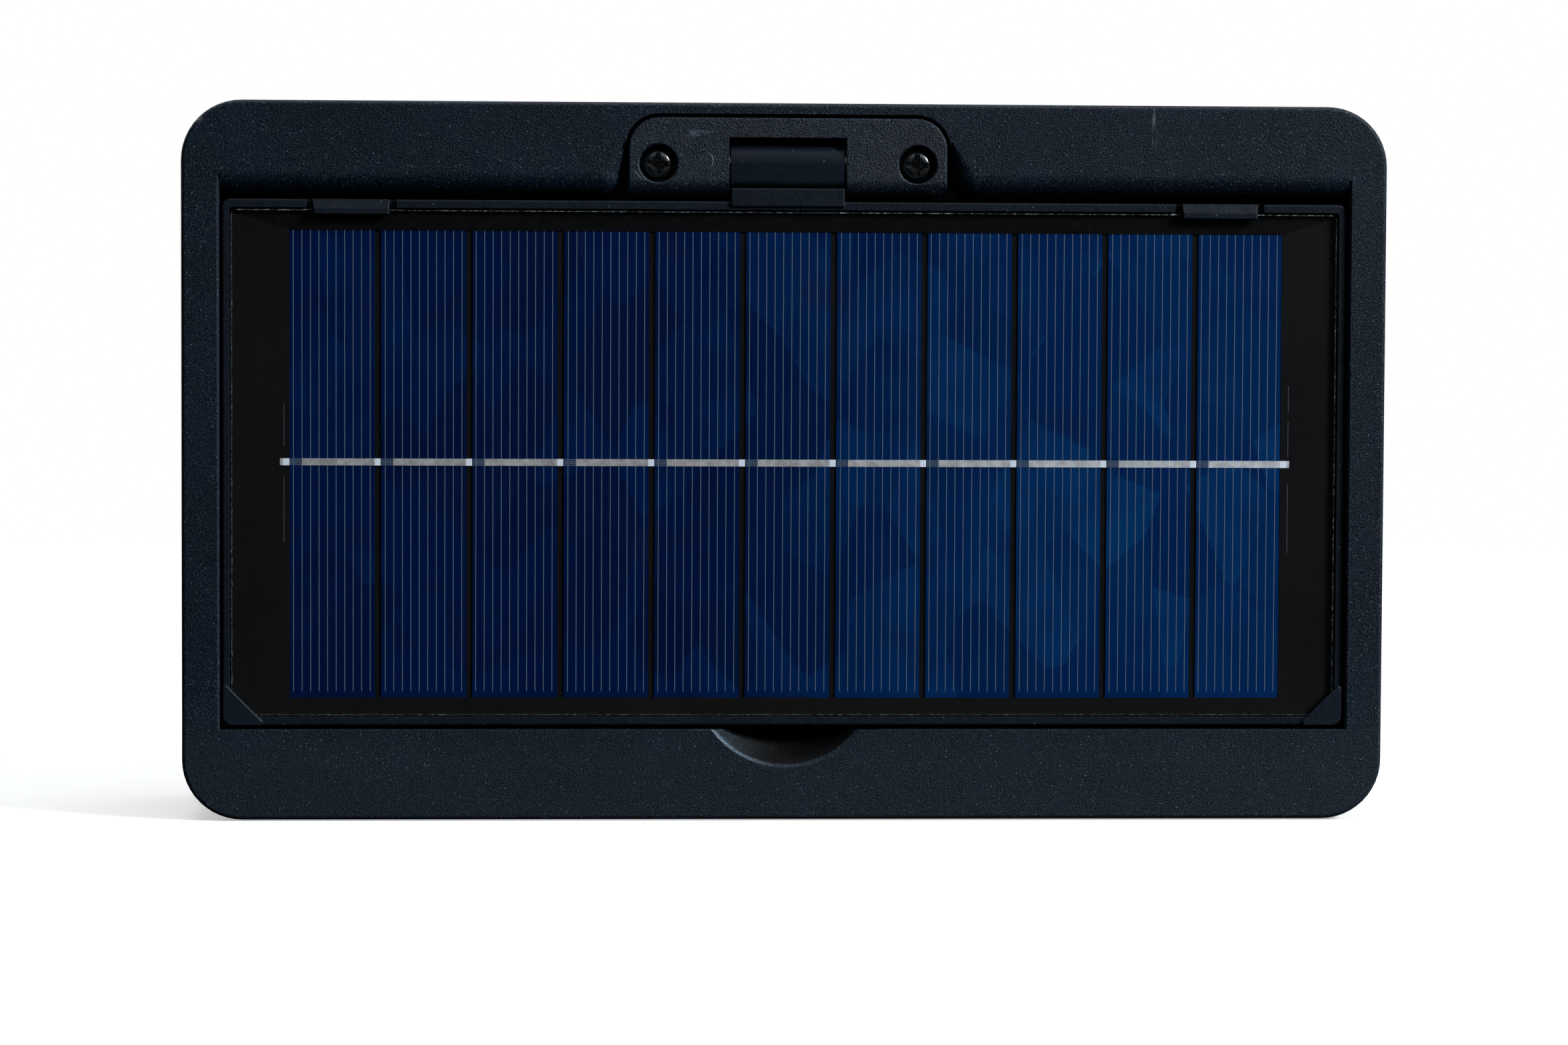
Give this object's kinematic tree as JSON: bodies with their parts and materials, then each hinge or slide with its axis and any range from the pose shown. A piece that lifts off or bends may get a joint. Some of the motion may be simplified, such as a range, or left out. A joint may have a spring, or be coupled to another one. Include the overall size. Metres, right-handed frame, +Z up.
{
  "type": "solar security camera",
  "caption": "Flat weatherproof security camera: a fold-out solar panel on one face, a lens, motion sensor dome and lamps on the other.",
  "frame": {"origin": "middle of the bounding box at the base, where the housing stands", "axes": "+Z up, +X across the width, +Y the way the lens looks; the solar panel faces -Y"},
  "size_m": [0.2, 0.0524, 0.119],
  "materials": {
    "housing_plastic": "fine spark-eroded texture",
    "frame_plastic": "fine spark-eroded texture",
    "gasket_rubber": "matt",
    "screw_black": "black plated",
    "steel": "ground",
    "brass": "turned",
    "spring_steel": "rolled",
    "clear_sheet": "smooth clear coat",
    "backboard_black": "satin",
    "silicon": "blue polycrystalline",
    "tinned_ribbon": "tinned, satin",
    "lead_insulation": "matt",
    "wire_insulation": "satin",
    "clear_cover": "ribbed clear plastic",
    "reflector_chrome": "vacuum metallised",
    "led_yellow": "phosphor",
    "board_green": "solder mask",
    "window_black": "polished",
    "bezel_black": "satin gloss",
    "lens_glass": "coated",
    "lens_black": "matt black",
    "sensor_dark": "glassy",
    "ir_lens": "clear epoxy",
    "light_pipe": "frosted",
    "dome_milky": "milky polyethylene",
    "can_metal": "tinned",
    "component_black": "moulded",
    "flex_amber": "polyimide",
    "cell_wrap": "shrink wrap",
    "cradle_plastic": "moulded",
    "nickel": "nickel plated",
    "card_black": "satin",
    "button_plastic": "fine texture"
  },
  "bodies": {
    "housing": {"batteries": "cell_wrap", "battery_cradles": "cradle_plastic", "battery_tabs": "nickel", "board_parts": "component_black", "board_screws": "steel", "camera_board": "board_green", "camera_ribbon": "flex_amber", "camera_window": "window_black", "card_socket": "can_metal", "door_pin": "steel", "friction_washers": "spring_steel", "front_shell": "housing_plastic", "hinge_cover": "housing_plastic", "hinge_cover_screws": "screw_black", "hinge_pin": "steel", "hinge_tube": "brass", "image_sensor": "sensor_dark", "inner_leads": "wire_insulation", "inner_lens": "lens_glass", "ir_board": "board_green", "ir_leds": "ir_lens", "lamp_boards": "board_green", "lamp_cover_left": "clear_cover", "lamp_cover_right": "clear_cover", "lamp_leds": "led_yellow", "lamp_reflector_left": "reflector_chrome", "lamp_reflector_right": "reflector_chrome", "lens_barrel": "lens_black", "lens_bezel": "bezel_black", "lens_glass": "lens_glass", "lens_holder": "component_black", "light_sensor": "ir_lens", "main_board": "board_green", "memory_card": "card_black", "microphone": "can_metal", "panel_bumpers": "gasket_rubber", "pir_board": "board_green", "pir_dome": "dome_milky", "pir_sensor": "can_metal", "rear_shell": "housing_plastic", "shell_gasket": "gasket_rubber", "shell_screws": "steel", "shield_cans": "can_metal", "side_boards": "board_green", "speaker": "component_black", "status_light_pipe": "light_pipe", "tact_switch": "component_black", "tripod_block": "housing_plastic", "tripod_insert": "brass", "usb_port": "can_metal", "wifi_antenna": "flex_amber"},
    "solar_panel": {"panel_frame": "frame_plastic", "pv_cover_sheet": "clear_sheet", "pv_backboard": "backboard_black", "solar_cells": "silicon", "cell_ribbons": "tinned_ribbon", "panel_lead": "lead_insulation"},
    "port_door": {"port_door": "housing_plastic", "door_seal": "gasket_rubber"},
    "power_button": {"power_button": "button_plastic"}
  },
  "joints": [
    {"name": "panel_hinge", "type": "hinge", "parent": "housing", "child": "solar_panel", "pos_m": [0, -0.02185, 0.109], "axis": [-1, 0, 0], "range_deg": [0, 90]},
    {"name": "port_door_hinge", "type": "hinge", "parent": "housing", "child": "port_door", "pos_m": [0.099, -0.01195, 0.042], "axis": [0, 0, -1], "range_deg": [0, 95]},
    {"name": "power_button_press", "type": "slide", "parent": "housing", "child": "power_button", "axis": [1, 0, 0], "range_m": [0, 0.0006], "stiffness_N_per_m": 2000}
  ]
}
